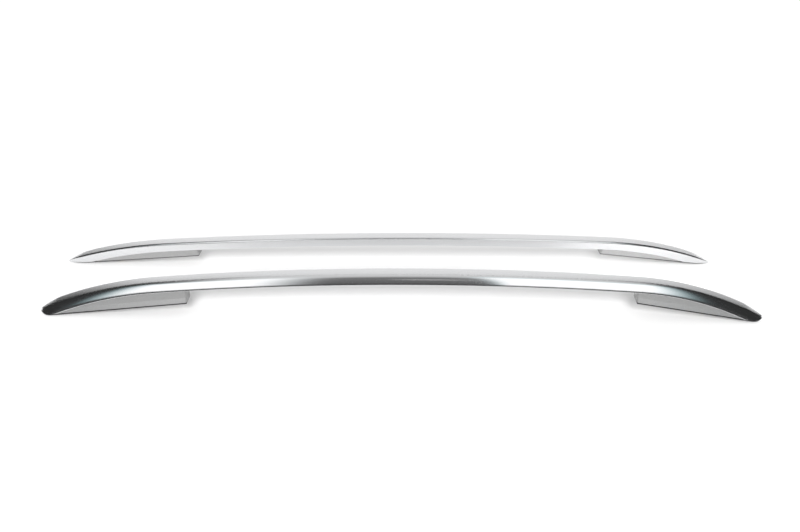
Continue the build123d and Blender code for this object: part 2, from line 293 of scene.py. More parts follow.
    def finish_material(
            self, sockets: dict, bump: Wire, strength: float, depth: float) -> bpy.types.Material:
        """Ends a material in one shader.

        Args:
            sockets: Values or wires of the Principled shader.
            bump: Height that feeds the shader's normal.
            strength: Strength of the bump.
            depth: Height in metres that a bump of 1 stands for.

        Returns:
            The finished material.
        """
        relief = {"Strength": strength, "Distance": depth, "Height": bump}
        normal = self.add("ShaderNodeBump", None, relief)
        shader = self.add("ShaderNodeBsdfPrincipled", None, {**sockets, "Normal": normal})
        self.add("ShaderNodeOutputMaterial", None, {"Surface": shader})
        return self.owner


def add_tree(piece: bpy.types.Object, tree: bpy.types.NodeTree, inputs: dict[str, Any]) -> None:
    """Puts a geometry tree on an object and sets its inputs by their identifiers.

    Args:
        piece: Object that carries the tree.
        tree: The geometry tree.
        inputs: Value of each named input.
    """
    modifier = piece.modifiers.new(tree.name, "NODES")
    modifier.node_group = tree
    for item in tree.interface.items_tree:
        if item.in_out == "INPUT" and item.name in inputs:
            modifier[item.identifier] = inputs[item.name]


def new_piece(name: str, mesh: Optional[bpy.types.Mesh] = None) -> bpy.types.Object:
    """A new object at the origin.

    Args:
        name: Name of the object.
        mesh: Its mesh, or none for an empty one.

    Returns:
        The object, linked to the scene.
    """
    piece = bpy.data.objects.new(name, mesh or bpy.data.meshes.new(name))
    bpy.context.scene.collection.objects.link(piece)
    return piece


def settle(piece: bpy.types.Object) -> bpy.types.Mesh:
    """Turns what an object's geometry trees make into its own plain mesh.

    Args:
        piece: Object with its trees set.

    Returns:
        The plain mesh that the object now holds.
    """
    depsgraph = bpy.context.evaluated_depsgraph_get()
    mesh = bpy.data.meshes.new_from_object(
        piece.evaluated_get(depsgraph), preserve_all_data_layers=True, depsgraph=depsgraph)
    piece.modifiers.clear()
    piece.data = mesh
    mesh.name = piece.name
    return mesh


@dataclass(frozen=True)
class BrightAluminium:
    """Anodised extrusion: satin top, polished outer face, fine draw lines along the bar."""

    crease_at: float
    inner_edge_at: float
    lip_at: float
    tint: tuple = (0.785, 0.79, 0.80, 1.0)
    worn: tuple = grey(0.86)
    satin: float = 0.26
    polish: float = 0.15
    edge: float = 0.0016
    turn_before: float = 0.001
    turn_after: float = 0.003
    line_run: float = 1.6
    line_pitch: float = 900.0
    cloud_scale: float = 7.0
    speck_scale: float = 420.0
    relief: float = 0.00006

    def make(self) -> bpy.types.Material:
        """Writes the finish on the bar's own along and around measures.

        Returns:
            The material.
        """
        graph = Graph.material("bright_aluminium")
        along = graph.add("ShaderNodeAttribute", {"attribute_name": "along"}, None, "Fac")
        around = graph.add("ShaderNodeAttribute", {"attribute_name": "around"}, None, "Fac")
        here = graph.here()
        lines = graph.noise(graph.xyz(along * self.line_run, around * self.line_pitch, 0.0), 1.0, 3.0, 0.6)
        cloud = graph.noise(here, self.cloud_scale, 3.0)
        specks = graph.noise(here, self.speck_scale, 2.0, 0.7)
        start, stop = self.crease_at - self.turn_before, self.crease_at + self.turn_after
        outer = graph.smooth(around, start, stop)
        start, stop = self.lip_at - self.turn_before, self.lip_at + self.turn_before
        outer = outer * (1 - graph.smooth(around, start, stop))
        edges: Value = 0.0
        for place in (self.crease_at, self.inner_edge_at, self.lip_at):
            edges = edges + graph.smooth(graph.math("ABSOLUTE", around - place), self.edge, 0.0)
        wear = edges * graph.smooth(specks * 0.6 + cloud * 0.5, 0.52, 0.72)
        shade = graph.mixed(cloud, self.tint, tuple(0.965 * v for v in self.tint[:3]) + (1.0,))
        rough = self.satin - outer * (self.satin - self.polish) + (lines - 0.5) * 0.07
        rough = rough + (cloud - 0.5) * 0.03 + wear * 0.10
        sockets = {
            "Base Color": graph.mixed(wear * 0.8, shade, self.worn),
            "Metallic": 1.0,
            "Roughness": rough.clamped(0.06, 0.6),
        }
        return graph.finish_material(sockets, lines * 0.7 + specks * 0.3, 0.05, self.relief)


@dataclass(frozen=True)
class SilverMoulding:
    """Silver-painted moulding: fine flake, slight orange peel, and edges rubbed lighter; the lighter edge
    colour is also a painted highlight along the edges.
    """

    paint: tuple = grey(0.31)
    flake: tuple = grey(0.40)
    # Lighter colour on the edges: partly rubbed paint, partly a painted highlight along the edges.
    edge: tuple = (0.52, 0.52, 0.522, 1.0)
    gloss: float = 0.40
    edge_radius: float = 0.0009
    flake_scale: float = 1600.0
    peel_scale: float = 520.0
    cloud_scale: float = 16.0
    rub_and_highlight_scale: float = 140.0
    relief: float = 0.00008

    def make(self) -> bpy.types.Material:
        """Writes the finish on object coordinates.

        Returns:
            The material.
        """
        graph = Graph.material("silver_moulding")
        here = graph.here()
        cells = {"Vector": here, "Scale": self.flake_scale}
        flakes = graph.add("ShaderNodeTexVoronoi", None, cells, "Color")
        flakes = graph.smooth(graph.vector("LENGTH", flakes, output="Value"), 0.6, 1.5)
        peel = graph.noise(here, self.peel_scale)
        cloud = graph.noise(here, self.cloud_scale, 4.0, 0.55)
        edges = graph.smooth(graph.sharpness(self.edge_radius), 0.02, 0.16)
        # Patches along sharp edges take the lighter edge colour: partly rubbed paint, partly a painted
        # highlight on the edges.
        wear = edges * graph.smooth(graph.noise(here, self.rub_and_highlight_scale, 3.0), 0.42, 0.62)
        shade = graph.mixed(flakes, self.paint, self.flake)
        shade = graph.mixed(cloud * 0.25, shade, self.paint)
        sockets = {
            "Base Color": graph.mixed(wear * 0.7, shade, self.edge),
            "Metallic": 0.5 + wear * 0.2,
            "Roughness": self.gloss + (peel - 0.5) * 0.08 + (cloud - 0.5) * 0.08 - wear * 0.08,
        }
        return graph.finish_material(sockets, peel * 0.6 + flakes * 0.1, 0.12, self.relief)


@dataclass(frozen=True)
class SealRubber:
    """Matt black rubber with a fine grain and a little dust."""

    black: tuple = (0.016, 0.016, 0.017, 1.0)
    dust: tuple = (0.10, 0.098, 0.094, 1.0)
    grain_scale: float = 900.0
    cloud_scale: float = 30.0
    relief: float = 0.0001

    def make(self) -> bpy.types.Material:
        """Writes the finish on object coordinates.

        Returns:
            The material.
        """
        graph = Graph.material("seal_rubber")
        here = graph.here()
        grain = graph.noise(here, self.grain_scale, 3.0, 0.6)
        cloud = graph.noise(here, self.cloud_scale, 4.0, 0.6)
        dusty = graph.smooth(cloud * 0.7 + grain * 0.3, 0.5, 0.8)
        sockets = {
            "Base Color": graph.mixed(dusty * 0.5, self.black, self.dust),
            "Roughness": 0.68 + grain * 0.14 + dusty * 0.1,
        }
        return graph.finish_material(sockets, grain, 0.3, self.relief)


@dataclass(frozen=True)
class TurnedBrass:
    """Turned brass with faint tool rings and a duller film in patches."""

    bright: tuple = (0.76, 0.57, 0.27, 1.0)
    dull: tuple = (0.46, 0.33, 0.15, 1.0)
    ring_scale: float = 60.0
    ring_squeeze: tuple = (1.0, 1.0, 60.0)
    film_scale: float = 180.0
    relief: float = 0.00005

    def make(self) -> bpy.types.Material:
        """Writes the finish on object coordinates.

        Returns:
            The material.
        """
        graph = Graph.material("turned_brass")
        here = graph.here()
        rings = graph.noise(graph.vector("MULTIPLY", here, self.ring_squeeze), self.ring_scale)
        film = graph.smooth(graph.noise(here, self.film_scale, 4.0, 0.6), 0.45, 0.75)
        sockets = {
            "Base Color": graph.mixed(film * 0.7, self.bright, self.dull),
            "Metallic": 1.0 - film * 0.1,
            "Roughness": 0.24 + rings * 0.14 + film * 0.14,
        }
        return graph.finish_material(sockets, rings, 0.1, self.relief)


@dataclass(frozen=True)
class ZincPlate:
    """Zinc-plated steel with a cloudy, slightly warm and cool sheen and worn edges."""

    cool: tuple = (0.62, 0.64, 0.67, 1.0)
    warm: tuple = (0.68, 0.65, 0.58, 1.0)
    bare: tuple = (0.50, 0.49, 0.48, 1.0)
    edge_radius: float = 0.0005
    cloud_scale: float = 90.0
    grain_scale: float = 1500.0
    relief: float = 0.00004

    def make(self) -> bpy.types.Material:
        """Writes the finish on object coordinates.

        Returns:
            The material.
        """
        graph = Graph.material("zinc_plate")
        here = graph.here()
        cloud = graph.noise(here, self.cloud_scale, 3.0)
        grain = graph.noise(here, self.grain_scale, 3.0, 0.6)
        edges = graph.smooth(graph.sharpness(self.edge_radius), 0.02, 0.2) * graph.smooth(grain, 0.4, 0.6)
        shade = graph.mixed(graph.smooth(cloud, 0.35, 0.65), self.cool, self.warm)
        sockets = {
            "Base Color": graph.mixed(edges * 0.6, shade, self.bare),
            "Metallic": 1.0,
            "Roughness": 0.30 + grain * 0.12 + cloud * 0.08 + edges * 0.1,
        }
        return graph.finish_material(sockets, grain, 0.08, self.relief)


def bent_bar_tree() -> bpy.types.NodeTree:
    """Geometry tree that sweeps an outline along three tangent arcs and leans it inwards.

    Returns:
        The tree.
    """
    graph = Graph.geometry("Bent bar")
    outline = graph.inlet("Outline", "Object")
    finish = graph.inlet("Finish", "Material")
    stations = graph.inlet("Stations", "Int")
    reach, crowding, lean = graph.inlets("Float", "Half length", "Crowding at the tips", "Lean")
    heights: dict[str, Wire] = {}
    line = graph.add("GeometryNodeCurvePrimitiveLine", None, {"Start": (-1, 0, 0), "End": (1, 0, 0)})
    line = graph.add("GeometryNodeResampleCurve", {"mode": "COUNT"}, {"Curve": line, "Count": stations})
    step = graph.add("GeometryNodeSplineParameter") * 2.0 - 1.0
    x = graph.math("TANH", step * crowding) / graph.math("TANH", crowding) * reach
    for arc in ("Rear", "Middle", "Front"):
        centre_x, centre_z, radius = graph.inlets(
            "Float", arc + " arc centre X", arc + " arc centre Z", arc + " arc radius")
        aside = x - centre_x
        heights[arc] = centre_z + (radius * radius - aside * aside).root()
    behind = x < graph.inlet("Rear shoulder X", "Float")
    ahead = x > graph.inlet("Front shoulder X", "Float")
    z = heights["Middle"] + behind * (heights["Rear"] - heights["Middle"])
    z = z + ahead * (heights["Front"] - heights["Middle"])
    line = graph.add("GeometryNodeSetPosition", None, {"Geometry": line, "Position": graph.xyz(x, 0.0, z)})
    section = graph.add("GeometryNodeObjectInfo", None, {"Object": outline}, "Geometry")
    length = graph.add("GeometryNodeSplineParameter", None, None, "Length")
    named = {"data_type": "FLOAT", "domain": "POINT"}
    line = graph.add(
        "GeometryNodeStoreNamedAttribute", named, {"Geometry": line, "Name": "along", "Value": length})
    section = graph.add(
        "GeometryNodeStoreNamedAttribute", named, {"Geometry": section, "Name": "around", "Value": length})
    line = graph.add("GeometryNodeSetCurveNormal", {"mode": "Z_UP"}, {"Curve": line})
    skin = graph.add("GeometryNodeCurveToMesh", None, {"Curve": line, "Profile Curve": section})
    leaning = graph.xyz(0.0 - lean, 0.0, 0.0)
    skin = graph.add("GeometryNodeTransform", None, {"Geometry": skin, "Rotation": leaning})
    return graph.finish_geometry(skin, finish)


def pointed_nose_tree() -> bpy.types.NodeTree:
    """Geometry tree that draws one end of the bar in to a point along two arcs, flat on the seal.

    Returns:
        The tree.
    """
    graph = Graph.geometry("Pointed nose")
    skin = graph.inlet("Geometry", "Geometry")
    finish = graph.inlet("Finish", "Material")
    tip, inwards, outwards, upwards = graph.inlets("Vector", "Tip", "Inwards", "Outwards", "Upwards")
    offset, inner_length, outer_length, outer_width = graph.inlets(
        "Float", "Tip offset", "Inner length", "Outer length", "Outer width")
    rake, slope, floor, reach = graph.inlets("Float", "Outer rake", "Wall slope", "Seal height", "Reach")
    rim, rounding, beak, beak_width = graph.inlets("Float", "Rim length", "Rim drop", "Beak", "Beak width")
    merge, sharp = graph.inlets("Float", "Merge distance", "Sharp angle")
    place = graph.vector("SUBTRACT", graph.add("GeometryNodeInputPosition"), tip)
    x = place.dot(inwards)
    height = graph.math("MAXIMUM", place.dot(upwards), floor)
    aside = place.dot(outwards) + place.dot(upwards) * slope - offset
    outside = aside > 0.0
    bow = outer_length + rake * graph.math("MAXIMUM", height - floor, 0.0)
    span = inner_length + outside * (bow - inner_length)
    width = offset + outside * (outer_width - offset)
    radius = (span * span / width + width) * 0.5
    left = (span - x).clamped(0.0, span)
    aside = aside * (1 - (radius - (radius * radius - left * left).root()) / width)
    low = ((rim - x) / rim).clamped(0.0, 1.0)
    height = floor + (height - floor) * (1 - rounding * (1 - (1 - low * low).root()))
    ahead = beak * low * low * graph.smooth(graph.math("ABSOLUTE", aside), beak_width, 0.0)
    forward = graph.scaled(inwards, graph.math("MAXIMUM", x, 0.0) - ahead)
    sideways = graph.scaled(outwards, offset + aside - height * slope)
    up = graph.scaled(upwards, height)
    moved = graph.vector("ADD", graph.vector("ADD", tip, forward), graph.vector("ADD", sideways, up))
    skin = graph.add(
        "GeometryNodeSetPosition", None, {"Geometry": skin, "Selection": x < reach, "Position": moved})
    skin = graph.add("GeometryNodeMergeByDistance", None, {"Geometry": skin, "Distance": merge})
    skin = graph.add("GeometryNodeSetShadeSmooth", {"domain": "FACE"}, {"Geometry": skin})
    angle = graph.add("GeometryNodeInputMeshEdgeAngle")
    skin = graph.add(
        "GeometryNodeSetShadeSmooth", {"domain": "EDGE"},
        {"Geometry": skin, "Selection": angle > sharp, "Shade Smooth": False})
    return graph.finish_geometry(skin, finish)


def thread_turns_tree() -> bpy.types.NodeTree:
    """Geometry tree that puts the turns of a thread into each bore marked by a point.

    Returns:
        The tree.
    """
    graph = Graph.geometry("Thread turns")
    spots = graph.inlet("Geometry", "Geometry")
    finish = graph.inlet("Finish", "Material")
    turns, depth, radius, ridge = graph.inlets("Float", "Turns", "Depth", "Bore radius", "Ridge")
    steps, sides = graph.inlets("Int", "Steps in a turn", "Ridge sides")
    coil = graph.add("GeometryNodeCurveSpiral", None, {
        "Resolution": steps, "Rotations": turns, "Height": depth,
        "Start Radius": radius, "End Radius": radius,
    })
    crest = graph.add("GeometryNodeCurvePrimitiveCircle", None, {"Resolution": sides, "Radius": ridge})
    coil = graph.add("GeometryNodeCurveToMesh", None, {"Curve": coil, "Profile Curve": crest})
    axis = graph.add("GeometryNodeInputNamedAttribute", {"data_type": "FLOAT_VECTOR"}, {"Name": "bore_axis"})
    turn = graph.add("FunctionNodeAlignRotationToVector", {"axis": "Z"}, {"Vector": axis})
    coils = graph.add(
        "GeometryNodeInstanceOnPoints", None, {"Points": spots, "Instance": coil, "Rotation": turn})
    return graph.finish_geometry(coils, finish)


@dataclass
class BentBar:
    """The hollow bar of one rail, seen from outside; metres, as in the part's source."""

    length: float = 1.760
    lean: float = math.radians(21.5)
    crown: float = 0.020
    runout: float = 0.020
    front_slope: float = math.radians(7.8)
    front_bend: float = 0.300
    front_shoulder: float = 0.0637
    front_drop: float = 0.0344
    rear_slope: float = math.radians(5.0)
    rear_bend: float = 0.290
    rear_shoulder: float = 0.0529
    rear_drop: float = 0.027
    tip_spacing: float = 0.273
    stagger: float = 0.032
    splay: float = math.radians(0.4)
    width: float = 0.0375
    inner_height: float = 0.030
    crease_inset: float = 0.007
    top_crown: float = 0.0005
    outer_bulge: float = 0.0023
    lip_drop: float = 0.0077
    lip_wall: float = 0.0025
    crease_radius: float = 0.008
    inner_top_radius: float = 0.0042
    inner_foot_radius: float = 0.0015
    lip_radius: float = 0.0015
    nose_offset: float = 0.011
    nose_inner: float = 0.055
    nose_outer: float = 0.034
    nose_rake: float = 1.7
    nose_reach: float = 0.130
    rim_length: float = 0.050
    rim_drop: float = 0.9
    beak: float = 0.0032
    beak_width: float = 0.020
    seal_height: float = 0.0025
    seal_start: float = 0.00218
    stations: int = 360
    crowding: float = 2.6
    spacing: float = 0.0012
    rounding_steps: int = 7
    nose_merge: float = 0.00002
    tip_merge: float = 0.00004
    sliver: float = 0.00001
    sharp: float = math.radians(38.0)

    def corners(self) -> list[Vector]:
        """Corners of the section, inner face on the vertical axis, outer side to the left.

        Returns:
            Inner foot, inner top, crease, lip tip, lip back and lip root.
        """
        across = self.width - self.crease_inset
        crease = Vector((-across, self.inner_height - across * math.tan(self.lean)))
        lip_in = self.lip_wall - self.width
        return [
            Vector((0.0, 0.0)), Vector((0.0, self.inner_height)), crease,
            Vector((-self.width, -self.lip_drop)), Vector((lip_in, -self.lip_drop)), Vector((lip_in, 0.0)),
        ]

    @staticmethod
    def side_circle(start: Vector, stop: Vector, bulge: float) -> tuple[Vector, float]:
        """Circle that a side of the section lies on; a straight side gets a very large one.

        Args:
            start: First corner.
            stop: Second corner, the inside of the section at the left of the way there.
            bulge: Height of the arc over its chord.

        Returns:
            Centre and radius.
        """
        chord = stop - start
        bulge = max(bulge, 1e-7)
        radius = chord.length_squared / (8.0 * bulge) + bulge / 2.0
        left = Vector((-chord.y, chord.x)).normalized()
        return (start + stop) / 2.0 + left * (radius - bulge), radius

    @staticmethod
    def circles_meet(first: tuple[Vector, float], second: tuple[Vector, float], near: Vector) -> Vector:
        """Crossing of two circles that lies nearest to a point.

        Args:
            first: Centre and radius.
            second: Centre and radius.
            near: The point.

        Returns:
            The crossing.
        """
        between = second[0] - first[0]
        gap = between.length
        along = (gap * gap + first[1] ** 2 - second[1] ** 2) / (2.0 * gap)
        across = math.sqrt(max(first[1] ** 2 - along ** 2, 0.0))
        foot = first[0] + between * (along / gap)
        sideways = Vector((-between.y, between.x)) * (across / gap)
        one, other = foot + sideways, foot - sideways
        return one if (one - near).length <= (other - near).length else other

    @staticmethod
    def arc_points(circle: tuple[Vector, float], start: Vector, stop: Vector, count: int) -> list[Vector]:
        """Points on a circle from one point on it up to, but without, another.

        Args:
            circle: Centre and radius.
            start: First point.
            stop: Last point, left out.
            count: Number of steps.

        Returns:
            The points.
        """
        centre, _ = circle
        arm = start - centre
        turn = arm.angle_signed(stop - centre)
        points = []
        for step in range(count):
            swing = -turn * step / count
            turned = Vector((
                arm.x * math.cos(swing) - arm.y * math.sin(swing),
                arm.x * math.sin(swing) + arm.y * math.cos(swing)))
            points.append(centre + turned)
        return points

    def outline(self) -> tuple[list[Vector], dict[str, float]]:
        """Outline of the section with its rounded corners.

        Returns:
            The points, from the lip root round to the floor, and how far round each named edge lies.
        """
        inner_foot, inner_top, crease, lip_tip, lip_back, lip_root = self.corners()
        corners = [lip_root, inner_foot, inner_top, crease, lip_tip, lip_back]
        radii = [
            0.0, self.inner_foot_radius, self.inner_top_radius, self.crease_radius, self.lip_radius, 0.0]
        bulges = [0.0, 0.0, self.top_crown, self.outer_bulge, 0.0, 0.0]
        sides = [
            self.side_circle(start, stop, bulge)
            for start, stop, bulge in zip(corners, corners[1:] + corners[:1], bulges)]
        roundings = []
        for k, radius in enumerate(radii):
            before, after = sides[k - 1], sides[k]
            if radius == 0.0:
                roundings.append((corners[k], corners[k], corners[k]))
                continue
            shrunk = ((before[0], before[1] - radius), (after[0], after[1] - radius))
            centre = self.circles_meet(shrunk[0], shrunk[1], corners[k])
            start = before[0] + (centre - before[0]).normalized() * before[1]
            stop = after[0] + (centre - after[0]).normalized() * after[1]
            roundings.append((centre, start, stop))
        points: list[Vector] = []
        marks: dict[str, float] = {}
        names = ["lip_root", "inner_foot", "inner_top", "crease", "lip_tip", "lip_back"]
        for k, (centre, start, stop) in enumerate(roundings):
            marks[names[k]] = self.run_length(points + [start]) + (stop - start).length / 2.0
            if radii[k] > 0.0:
                points += self.arc_points((centre, radii[k]), start, stop, self.rounding_steps)
            following = roundings[(k + 1) % len(roundings)][1]
            count = max(1, round((following - stop).length / self.spacing))
            points += self.arc_points(sides[k], stop, following, count)
        return points, marks

    @staticmethod
    def run_length(points: Sequence[Vector]) -> float:
        """Length of a run of points."""
        return sum((b - a).length for a, b in zip(points, points[1:]))

    def section_object(self) -> bpy.types.Object:
        """The section as a closed curve, turned as the sweep needs it.

        Returns:
            A curve object that is removed after use.
        """
        points, _ = self.outline()
        curve = bpy.data.curves.new("bar_section", "CURVE")
        curve.dimensions = "2D"
        curve.fill_mode = "NONE"
        spline = curve.splines.new("POLY")
        spline.points.add(len(points) - 1)
        for target, point in zip(spline.points, points):
            target.co = (-point.x, -point.y, 0.0, 1.0)
        spline.use_cyclic_u = True
        section = bpy.data.objects.new("bar_section", curve)
        bpy.context.scene.collection.objects.link(section)
        return section

    def arcs(self) -> dict[str, tuple[Vector, float]]:
        """Circles of the three arcs of the bend line.

        Returns:
            Centre and radius of the rear, middle and front arc.
        """
        rear = Vector((self.rear_bend - self.length / 2.0, self.rear_shoulder))
        front = Vector((self.length / 2.0 - self.front_bend, self.front_shoulder))
        top = (rear + front) / 2.0 + Vector((0.0, self.crown))
        a, b = top - rear, front - rear
        scale = 2.0 * (a.x * b.y - a.y * b.x)
        centre = rear + Vector((
            (b.y * a.length_squared - a.y * b.length_squared) / scale,
            (a.x * b.length_squared - b.x * a.length_squared) / scale))
        circles = {"Middle": (centre, (rear - centre).length)}
        ends = {
            "Rear": (rear, Vector((-self.length / 2.0 - self.runout, -self.rear_drop))),
            "Front": (front, Vector((self.length / 2.0 + self.runout, -self.front_drop))),
        }
        for name, (shoulder, end) in ends.items():
            towards = (centre - shoulder).normalized()
            way = end - shoulder
            radius = way.length_squared / (2.0 * way.dot(towards))
            circles[name] = (shoulder + towards * radius, radius)
        return circles

    def sweep_inputs(self, section: bpy.types.Object) -> dict[str, Any]:
        """Inputs of the tree that sweeps the bar.

        Args:
            section: Curve object with the section.

        Returns:
            Value of each named input.
        """
        inputs: dict[str, Any] = {
            "Outline": section,
            "Stations": self.stations,
            "Half length": self.length / 2.0 + self.runout,
            "Crowding at the tips": self.crowding,
            "Lean": self.lean,
            "Rear shoulder X": self.rear_bend - self.length / 2.0,
            "Front shoulder X": self.length / 2.0 - self.front_bend,
        }
        for name, (centre, radius) in self.arcs().items():
            inputs[name + " arc centre X"] = centre.x
            inputs[name + " arc centre Z"] = centre.y
            inputs[name + " arc radius"] = radius
        return inputs

    def nose_inputs(self, end: End) -> dict[str, Any]:
        """Inputs of the tree that points one nose, on the roof plane under it.

        Args:
            end: The end of the rail.

        Returns:
            Value of each named input.
        """
        slope = self.front_slope if end is End.FRONT else self.rear_slope
        side = end.value
        inwards = Vector((-side, math.tan(slope) * math.tan(self.lean), math.tan(slope))).normalized()
        upwards = Vector((side * math.sin(slope), 0.0, math.cos(slope)))
        wall_lean = math.asin(math.sin(self.lean) * math.cos(slope))
        return {
            "Tip": Vector((side * self.length / 2.0, 0.0, -self.seal_start * inwards.z)),
            "Inwards": inwards,
            "Outwards": upwards.cross(inwards) * side,
            "Upwards": upwards,
            "Tip offset": self.nose_offset,
            "Inner length": self.nose_inner,
            "Outer length": self.nose_outer,
            "Outer width": self.width / math.cos(wall_lean) - self.nose_offset,
            "Outer rake": self.nose_rake,
            "Wall slope": math.tan(wall_lean),
            "Seal height": self.seal_height,
            "Reach": self.nose_reach,
            "Rim length": self.rim_length,
            "Rim drop": self.rim_drop,
            "Beak": self.beak,
            "Beak width": self.beak_width,
            "Merge distance": self.nose_merge,
            "Sharp angle": self.sharp,
        }

    def place(self, side: RailSide) -> Matrix:
        """Where a rail lies in the pair.

        Args:
            side: Which rail.

        Returns:
            Matrix from the rail's own axes to the pair's.
        """
        to_middle = Matrix.Translation((0.0, self.width / math.cos(self.lean) / 2.0, 0.0))
        turned = Matrix.Rotation(-self.splay, 4, "Z")
        ahead = Matrix.Translation((side.value * self.stagger / 2.0, -self.tip_spacing / 2.0, 0.0))
        return Matrix.Scale(side.value, 4, (0.0, 1.0, 0.0)) @ ahead @ turned @ to_middle

    def make_finish(self) -> bpy.types.Material:
        """Makes the bar's finish, with its worn edges where the section has its edges.

        Returns:
            The material.
        """
        _, marks = self.outline()
        return BrightAluminium(marks["crease"], marks["inner_top"], marks["lip_tip"]).make()

    def build(self, side: RailSide, finish: bpy.types.Material, sweep: bpy.types.NodeTree,
              nose: bpy.types.NodeTree) -> bpy.types.Object:
        """Makes one bar and puts it in the place of its solid.

        Args:
            side: Which rail.
            finish: Material of the bar.
            sweep: Tree that sweeps the section.
            nose: Tree that points a nose.

        Returns:
            The bar.
        """
        name = side.name.lower()
        piece = new_piece(name + "_bright_bar")
        section = self.section_object()
        add_tree(piece, sweep, {"Finish": finish, **self.sweep_inputs(section)})
        for end in End:
            add_tree(piece, nose, {"Finish": finish, **self.nose_inputs(end)})
        mesh = settle(piece)
        bpy.data.objects.remove(section)
        self.close_tips(mesh)
        mesh.transform(self.place(side))
        if side is RailSide.LEFT:
            mesh.flip_normals()
        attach(piece, BODY)
        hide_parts(name + "_bar")
        LOG.info("%s: %d faces", piece.name, len(mesh.polygons))
        return piece

    def close_tips(self, mesh: bpy.types.Mesh) -> None:
        """Clears the folded faces at the two tips, closes them and turns all faces outwards.

        Args:
            mesh: Mesh of one bar.
        """
        work = bmesh.new()
        work.from_mesh(mesh)
        bmesh.ops.remove_doubles(work, verts=work.verts, dist=self.tip_merge)
        bmesh.ops.dissolve_degenerate(work, edges=work.edges, dist=self.sliver)
        rim = [edge for edge in work.edges if edge.is_boundary]
        bmesh.ops.holes_fill(work, edges=rim, sides=0)
        bmesh.ops.recalc_face_normals(work, faces=work.faces)
        work.to_mesh(mesh)
        work.free()


@dataclass
class InsertThreads:
    """The threads inside the roof-bolt inserts."""

    finish: bpy.types.Material
    turns: float = 8.8
    ridge: float = 0.00032
    margin: float = 0.0005
    steps: int = 28
    ridge_sides: int = 4

    def build(self, tree: bpy.types.NodeTree, mounts: Sequence[dict]) -> bpy.types.Object:
        """Makes the turns in every threaded bore of the record.

        Args:
            tree: Tree that puts a thread at each point.
            mounts: The record's mounts.

        Returns:
            The threads of all bores.
        """
        bores = [mount for mount in mounts if mount["kind"] == "threaded_hole"]
        depth = bores[0]["dims"]["length_mm"] / 1000.0 - 2.0 * self.margin
        axes = [-Vector(bore["axis"]) for bore in bores]
        starts = [Vector(bore["pos_m"]) - axis * (depth / 2.0) for bore, axis in zip(bores, axes)]
        mesh = bpy.data.meshes.new("insert_threads")
        mesh.from_pydata(starts, [], [])
        marks = mesh.attributes.new("bore_axis", "FLOAT_VECTOR", "POINT")
        for mark, axis in zip(marks.data, axes):
            mark.vector = axis
        piece = new_piece("insert_threads", mesh)
        add_tree(piece, tree, {
            "Finish": self.finish,
            "Turns": self.turns,
            "Depth": depth,
            "Bore radius": bores[0]["dims"]["r_mm"] / 1000.0,
            "Ridge": self.ridge,
            "Steps in a turn": self.steps,
            "Ridge sides": self.ridge_sides,
        })
        made = settle(piece)
        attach(piece, BODY)
        LOG.info("%s: %d faces in %d bores", piece.name, len(made.polygons), len(bores))
        return piece


@dataclass
class CarriedPieces:
    """The pieces whose solids stay as they are and only get their finish."""

    finishes: dict[Slot, bpy.types.Material]

    def dress(self, nodes: dict[str, bpy.types.Object]) -> None:
        """Gives every carried piece the finish of its kind.

        Args:
            nodes: The CAD nodes by name.
        """
        kinds = {
            "foot": Slot.FOOT, "gasket": Slot.GASKET, "inserts": Slot.INSERT,
            "screws": Slot.FASTENER, "washers": Slot.FASTENER, "nuts": Slot.FASTENER,
        }
        for name, node in sorted(nodes.items()):
            kind = name.rsplit("_", 1)[-1]
            if kind in kinds:
                finish = self.finishes[kinds[kind]]
                for place in node.material_slots:
                    place.material = finish
                LOG.info("%s: %s", name, finish.name)


@dataclass
class Card:
    """A glowing panel that only reflections see, fading out towards its four sides."""

    name: str
    corners: tuple
    glow: float
    fades: tuple
    colour: tuple = WHITE
    head: tuple = WHITE
    fringes: tuple = (WHITE, WHITE)
    cells: int = 12

    def material(self) -> bpy.types.Material:
        """Writes the panel's glow on its own UV map.

        Returns:
            The material.
        """
        graph = Graph.material(self.name)
        place = graph.add("ShaderNodeUVMap", {"uv_map": "panel"})
        across = graph.add("ShaderNodeSeparateXYZ", None, {0: place}, "X")
        up = graph.add("ShaderNodeSeparateXYZ", None, {0: place}, "Y")
        left, right, low, high = self.fades
        mask = graph.smooth(across, 0.0, left) * graph.smooth(1 - across, 0.0, right)
        mask = mask * graph.smooth(up, 0.0, low) * graph.smooth(1 - up, 0.0, high)
        fringe = graph.mixed(across, *self.fringes)
        tone = graph.mixed(mask, fringe, graph.mixed(up, self.colour, self.head))
        glow = graph.add("ShaderNodeEmission", None, {"Color": tone, "Strength": self.glow})
        clear = graph.add("ShaderNodeBsdfTransparent")
        faded = graph.add("ShaderNodeMixShader", None, {0: mask, 1: clear, 2: glow})
        graph.add("ShaderNodeOutputMaterial", None, {"Surface": faded})
        return graph.owner

    def build(self) -> bpy.types.Object:
        """Makes the panel as a small grid between its corners.

        Returns:
            The panel.
        """
        low_left, low_right, high_right, high_left = (Vector(corner) for corner in self.corners)
        work = bmesh.new()
        layer = work.loops.layers.uv.new("panel")
        bmesh.ops.create_grid(work, x_segments=self.cells, y_segments=self.cells, size=0.5)
        for face in work.faces:
            for loop in face.loops:
                loop[layer].uv = loop.vert.co.xy + Vector((0.5, 0.5))
        for vert in work.verts:
            across, up = vert.co.x + 0.5, vert.co.y + 0.5
            vert.co = low_left.lerp(low_right, across).lerp(high_left.lerp(high_right, across), up)
        mesh = bpy.data.meshes.new(self.name)
        work.to_mesh(mesh)
        work.free()
        mesh.materials.append(self.material())
        panel = new_piece(self.name, mesh)
        panel.visible_camera = False
        panel.visible_diffuse = False
        panel.visible_shadow = False
        return panel


